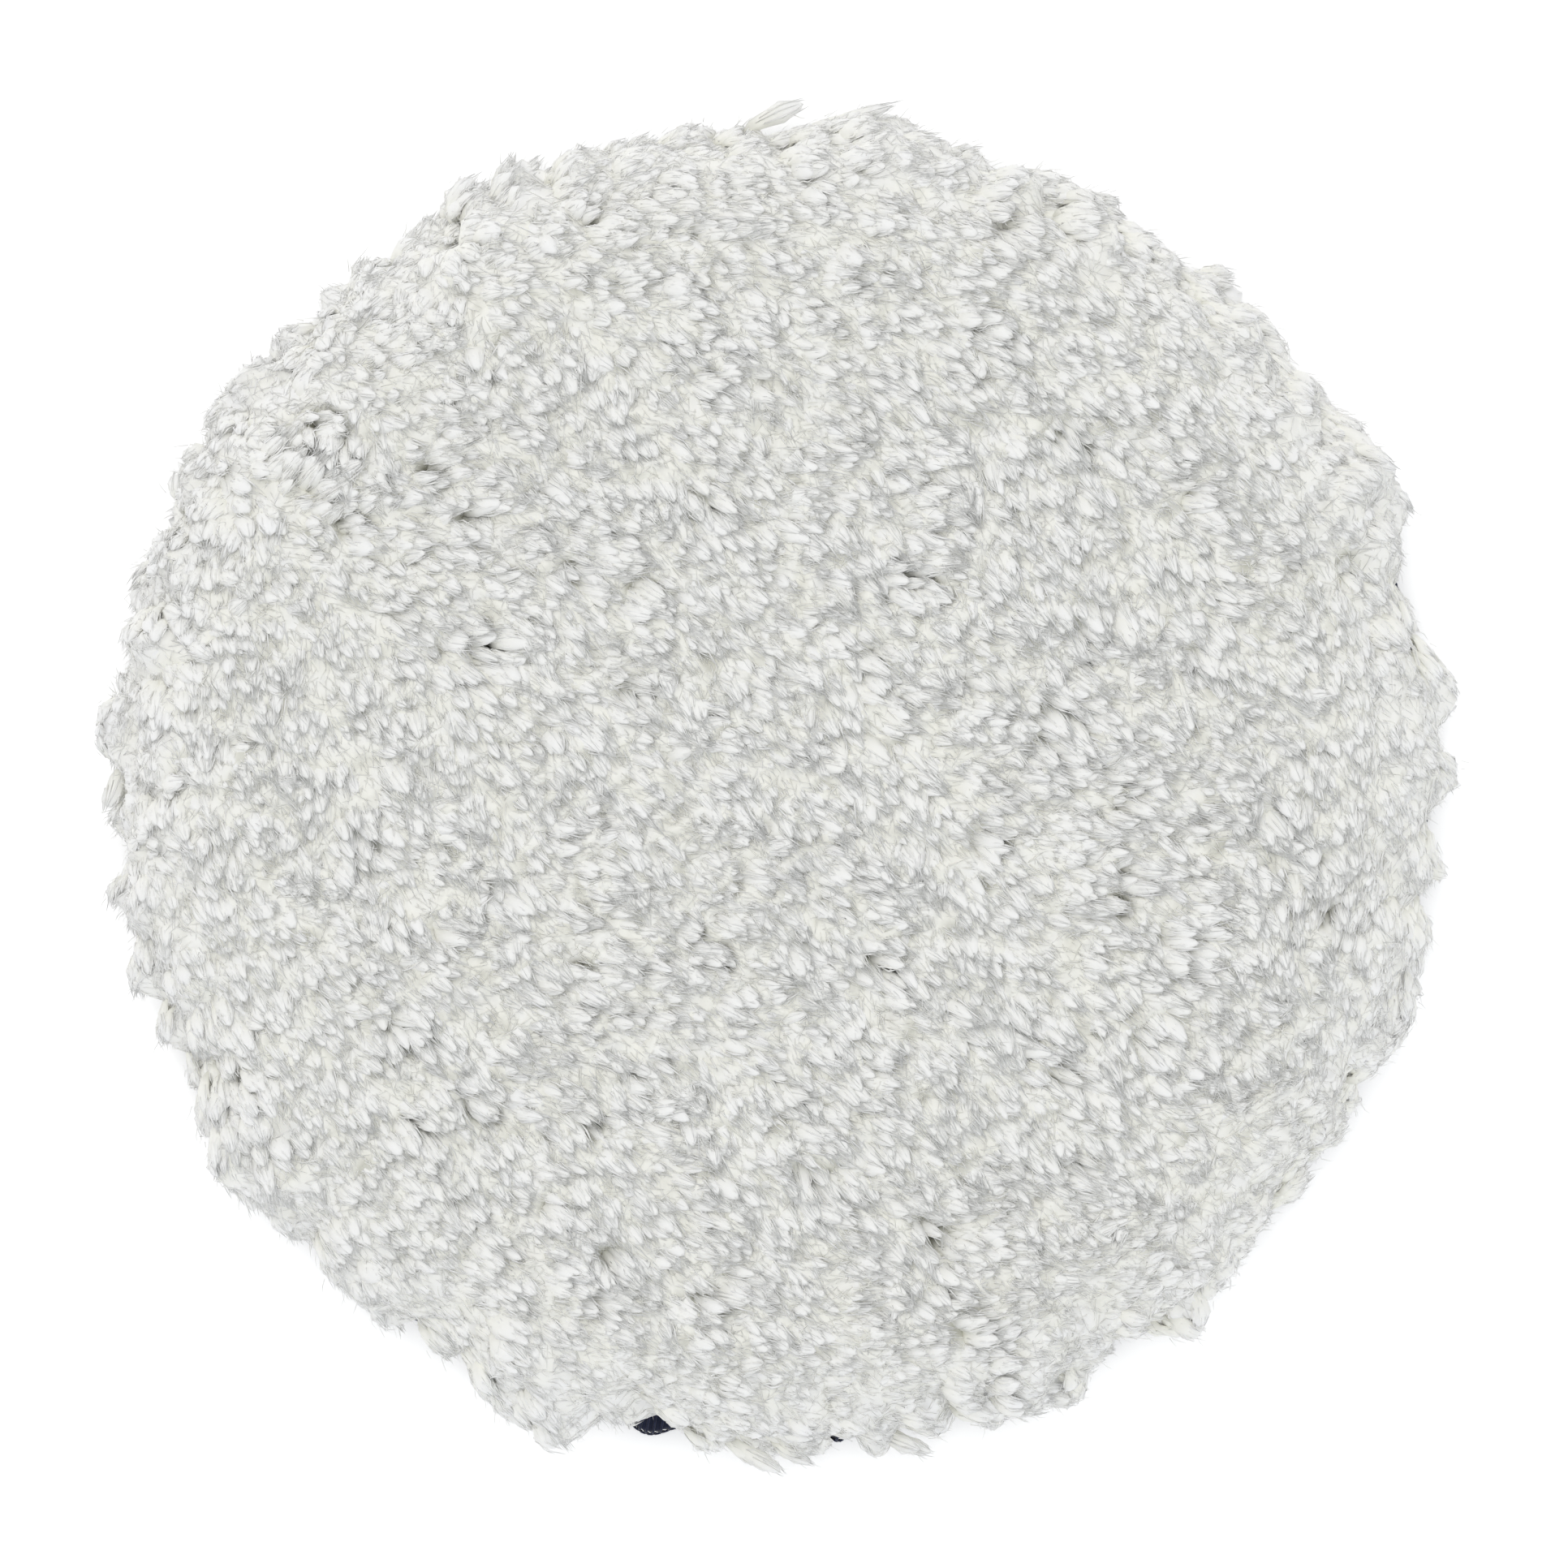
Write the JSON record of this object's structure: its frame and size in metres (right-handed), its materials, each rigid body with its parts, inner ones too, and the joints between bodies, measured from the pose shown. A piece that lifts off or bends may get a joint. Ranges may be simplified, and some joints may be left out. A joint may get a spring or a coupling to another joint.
{
  "type": "polishing pad",
  "caption": "Round tufted white polishing pad with a foam cushion, a bound edge and a flat hook-and-loop back for a car polishing machine.",
  "frame": {"origin": "centre of the flat loop face that the pad lies on, at the bottom of the pad", "axes": "+Z along the pad's axis, from the loop face up to the pile face; the pad is round, so +X and +Y lie anywhere in its plane"},
  "size_m": [0.168, 0.168, 0.0258],
  "materials": {
    "white_yarn": "plush tufted",
    "ground_cloth": "knitted",
    "latex": "matte",
    "hot_melt": "translucent web",
    "foam": "open cell",
    "navy_cloth": "brushed loop",
    "navy_thread": "twisted thread"
  },
  "bodies": {
    "root": {"pile": "white_yarn", "carrier_cloth": "ground_cloth", "latex_back_coat": "latex", "upper_adhesive_film": "hot_melt", "foam_cushion": "foam", "lower_adhesive_film": "hot_melt", "loop_base_cloth": "navy_cloth", "loop_nap": "navy_cloth", "edge_binding": "navy_thread", "lock_stitch": "navy_thread"}
  },
  "joints": []
}
